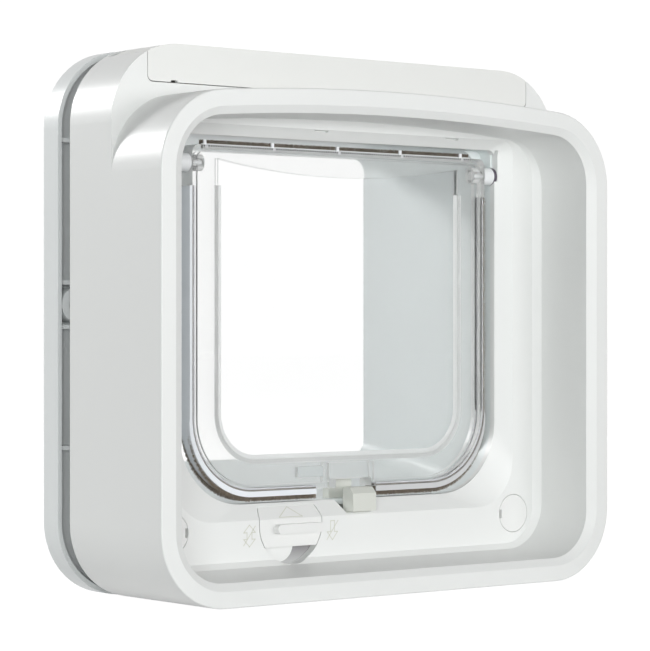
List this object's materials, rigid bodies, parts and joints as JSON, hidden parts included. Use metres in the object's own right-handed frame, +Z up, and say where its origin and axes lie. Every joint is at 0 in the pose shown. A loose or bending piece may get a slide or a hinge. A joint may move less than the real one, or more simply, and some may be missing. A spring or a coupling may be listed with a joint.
{
  "type": "cat flap",
  "caption": "Chip-reading cat flap for a door: deep indoor hood, clear swinging flap with brush seals, ramped tunnel and thin outdoor frame.",
  "frame": {"origin": "middle of the base of the whole flap's box", "axes": "+Z up, -Y towards the person indoors, +Y out through the door, +X to that person's right"},
  "size_m": [0.21, 0.108, 0.1959],
  "materials": {
    "housing_plastic": "white moulded plastic, satin",
    "inner_plastic": "white moulded plastic, matt",
    "tunnel_plastic": "cool white moulded plastic",
    "shell_plastic": "white moulded plastic, satin",
    "winding": "enamelled copper winding",
    "clear_plastic": "clear moulded plastic",
    "magnet": "plated magnet",
    "pile": "dense brown-grey brush pile",
    "pin_plastic": "dark moulded plastic",
    "latch_plastic": "warm grey plastic, satin",
    "cam_plastic": "natural moulded plastic",
    "motor_case": "plated steel can",
    "knob_plastic": "white moulded plastic, satin",
    "spring_steel": "spring steel",
    "cap_plastic": "white moulded plastic, satin",
    "screw_steel": "zinc plated steel",
    "cover_plastic": "white moulded plastic, satin",
    "cell_case": "plain grey sleeve",
    "contact_metal": "nickel plated leaf",
    "button_plastic": "grey moulded plastic",
    "board": "green circuit board"
  },
  "bodies": {
    "fixed_set": {"front_housing": "housing_plastic", "rear_cover": "inner_plastic", "tunnel": "tunnel_plastic", "exterior_frame": "shell_plastic", "reader_coil": "winding", "sill_magnet": "magnet", "hinge_pin_left": "pin_plastic", "hinge_pin_right": "pin_plastic", "latch_motor_front": "motor_case", "latch_motor_rear": "motor_case", "screw_cap_left": "cap_plastic", "screw_cap_right": "cap_plastic", "fixing_screws": "screw_steel", "cover_pin_left": "spring_steel", "cover_pin_right": "spring_steel", "battery_1": "cell_case", "battery_2": "cell_case", "battery_3": "cell_case", "battery_4": "cell_case", "battery_contacts": "contact_metal", "control_board": "board"},
    "swinging_set": {"flap": "clear_plastic", "pile_front_left": "pile", "pile_front_right": "pile", "pile_rear_left": "pile", "pile_rear_right": "pile", "pile_top": "pile", "flap_magnet": "magnet"},
    "cover_set": {"battery_cover": "cover_plastic"},
    "knob_set": {"lock_knob": "knob_plastic", "knob_clip": "spring_steel"},
    "front_latch_set": {"front_latch": "latch_plastic"},
    "rear_latch_set": {"rear_latch": "latch_plastic"},
    "front_cam_set": {"latch_cam_front": "cam_plastic"},
    "rear_cam_set": {"latch_cam_rear": "cam_plastic"},
    "button_set": {"learn_button": "button_plastic"}
  },
  "joints": [
    {"name": "flap_swing", "type": "hinge", "parent": "fixed_set", "child": "swinging_set", "pos_m": [0, -0.019, 0.1548], "axis": [1, 0, 0], "range_deg": [-80, 80]},
    {"name": "battery_cover_hinge", "type": "hinge", "parent": "fixed_set", "child": "cover_set", "pos_m": [0, -0.0015, 0.1941], "axis": [-1, 0, 0], "range_deg": [0, 75]},
    {"name": "lock_knob_turn", "type": "hinge", "parent": "fixed_set", "child": "knob_set", "pos_m": [-0.0282, -0.022, 0.0252], "axis": [0, 1, 0], "range_deg": [-90, 90]},
    {"name": "front_latch_lift", "type": "slide", "parent": "fixed_set", "child": "front_latch_set", "axis": [0, 0, 1], "range_m": [0, 0.005]},
    {"name": "rear_latch_lift", "type": "slide", "parent": "fixed_set", "child": "rear_latch_set", "axis": [0, 0, 1], "range_m": [0, 0.005]},
    {"name": "front_cam_turn", "type": "hinge", "parent": "fixed_set", "child": "front_cam_set", "pos_m": [0.0083, -0.0126, 0.012], "axis": [1, 0, 0], "range_deg": [0, 240]},
    {"name": "rear_cam_turn", "type": "hinge", "parent": "fixed_set", "child": "rear_cam_set", "pos_m": [-0.0001, -0.0126, 0.012], "axis": [1, 0, 0], "range_deg": [0, 240]},
    {"name": "learn_button_press", "type": "slide", "parent": "fixed_set", "child": "button_set", "axis": [0, 0, -1], "range_m": [0, 0.0015], "stiffness_N_per_m": 150, "springref_m": -0.0005}
  ],
  "couplings": [
    {"joint": "front_cam_turn", "follows": "front_latch_lift", "rad_per_m": 837.76},
    {"joint": "rear_cam_turn", "follows": "rear_latch_lift", "rad_per_m": 837.76}
  ]
}
